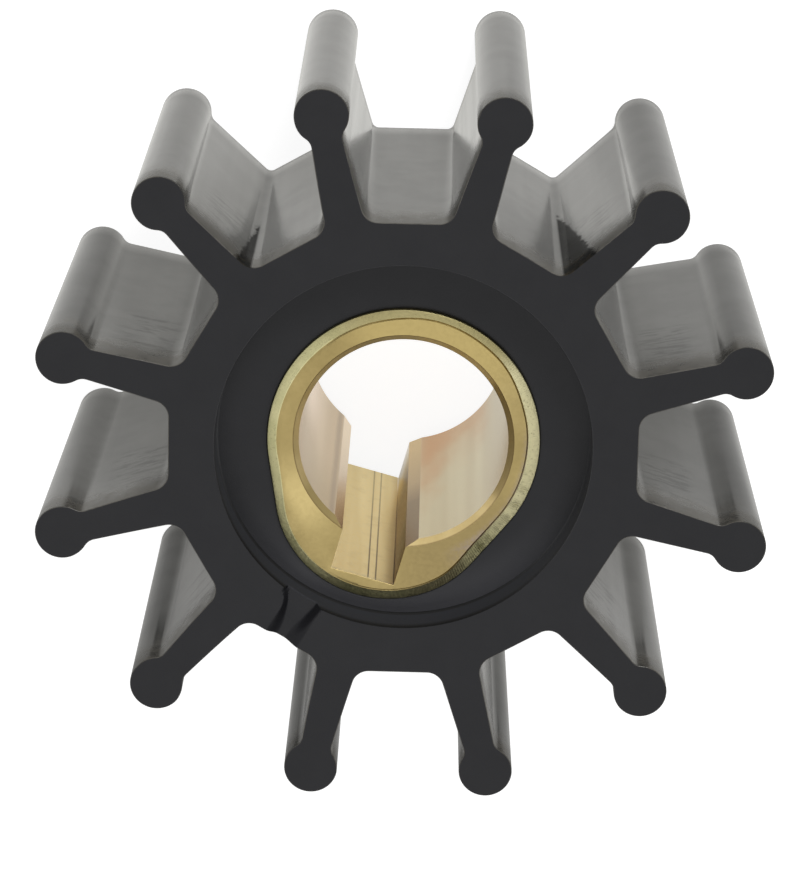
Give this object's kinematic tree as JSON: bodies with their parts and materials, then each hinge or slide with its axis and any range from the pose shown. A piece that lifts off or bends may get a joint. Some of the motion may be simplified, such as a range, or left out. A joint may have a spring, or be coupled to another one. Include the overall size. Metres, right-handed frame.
{
  "type": "rubber pump impeller",
  "caption": "Flexible rubber impeller for a water pump: straight vanes with round tip beads, moulded as one with the hub round a lobed brass insert with a keyed bore.",
  "frame": {"origin": "on the bore axis, in the plane of the back end face that the impeller lies on", "axes": "+Z along the bore towards the front face, +X along the first vane, -Y along the keyway"},
  "size_m": [0.0572, 0.0572, 0.0318],
  "materials": {
    "black_rubber": "matt moulded rubber",
    "brass": "machined, dull"
  },
  "bodies": {
    "root": {"rubber_impeller": "black_rubber", "brass_insert": "brass"}
  },
  "joints": []
}
